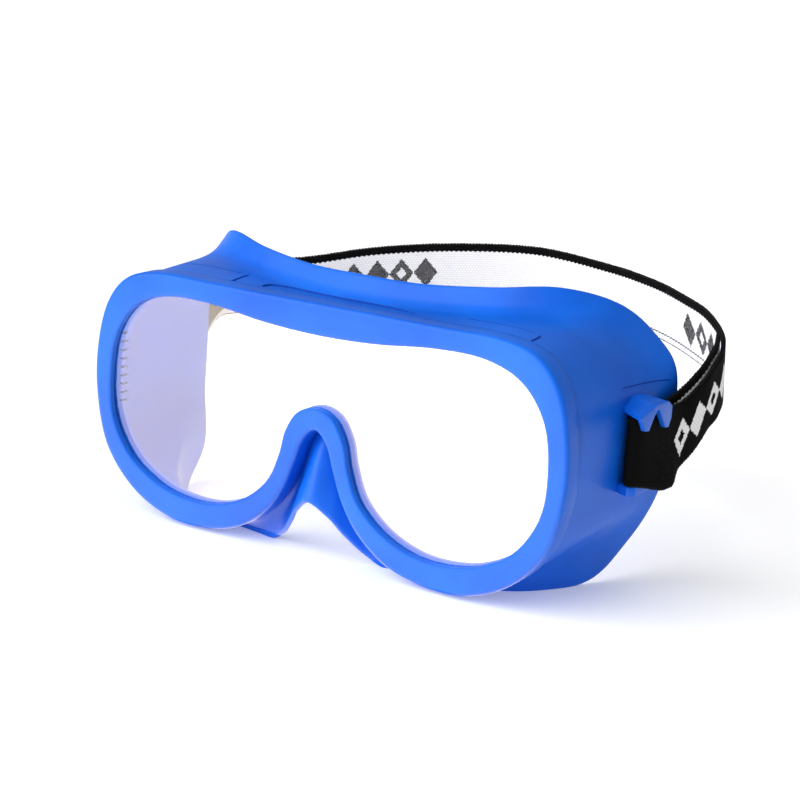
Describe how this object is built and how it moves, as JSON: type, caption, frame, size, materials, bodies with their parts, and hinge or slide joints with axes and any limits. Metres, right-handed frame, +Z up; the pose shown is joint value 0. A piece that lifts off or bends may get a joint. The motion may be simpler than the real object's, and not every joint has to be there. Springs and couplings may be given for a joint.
{
  "type": "safety goggles",
  "caption": "Wrap-round safety goggles: a soft moulded frame with a flared face flange, a clear lens in a groove and an elastic headband looped through a lug on each side.",
  "frame": {"origin": "the middle of the bounding box, on the plane that the goggles stand on", "axes": "+Z up, -Y the way the wearer looks, +X the wearer's left"},
  "size_m": [0.2026, 0.147, 0.0895],
  "materials": {
    "soft_frame": "satin",
    "clear_lens": "clear polished",
    "elastic_webbing": "woven matte, white inside",
    "thread": "matte"
  },
  "bodies": {
    "frame": {"front_rim": "soft_frame", "lens": "clear_lens", "frame_wall": "soft_frame", "face_flange": "soft_frame", "nose_saddle": "soft_frame", "strap_lug_left": "soft_frame", "strap_lug_right": "soft_frame", "strap_loop_left": "elastic_webbing", "strap_loop_right": "elastic_webbing", "loop_seam_left": "thread", "loop_seam_right": "thread"},
    "band_sides": {"band_flex_left": "elastic_webbing", "band_flex_right": "elastic_webbing", "band_arm_left": "elastic_webbing", "band_arm_right": "elastic_webbing", "strap_tail_left": "elastic_webbing", "strap_tail_right": "elastic_webbing"},
    "band_rear": {"band_back": "elastic_webbing"}
  },
  "joints": [
    {"name": "band_swing", "type": "hinge", "parent": "frame", "child": "band_sides", "pos_m": [0, -0.004, 0.0525], "axis": [1, 0, 0], "range_deg": [-30, 40], "stiffness_Nm_per_rad": 0.1, "springref_deg": 3.44, "deforming": ["band_flex_left", "band_flex_right"]},
    {"name": "band_stretch", "type": "slide", "parent": "band_sides", "child": "band_rear", "axis": [0, 1, 0], "range_m": [0, 0.04], "stiffness_N_per_m": 60, "deforming": ["band_arm_left", "band_arm_right"]}
  ]
}
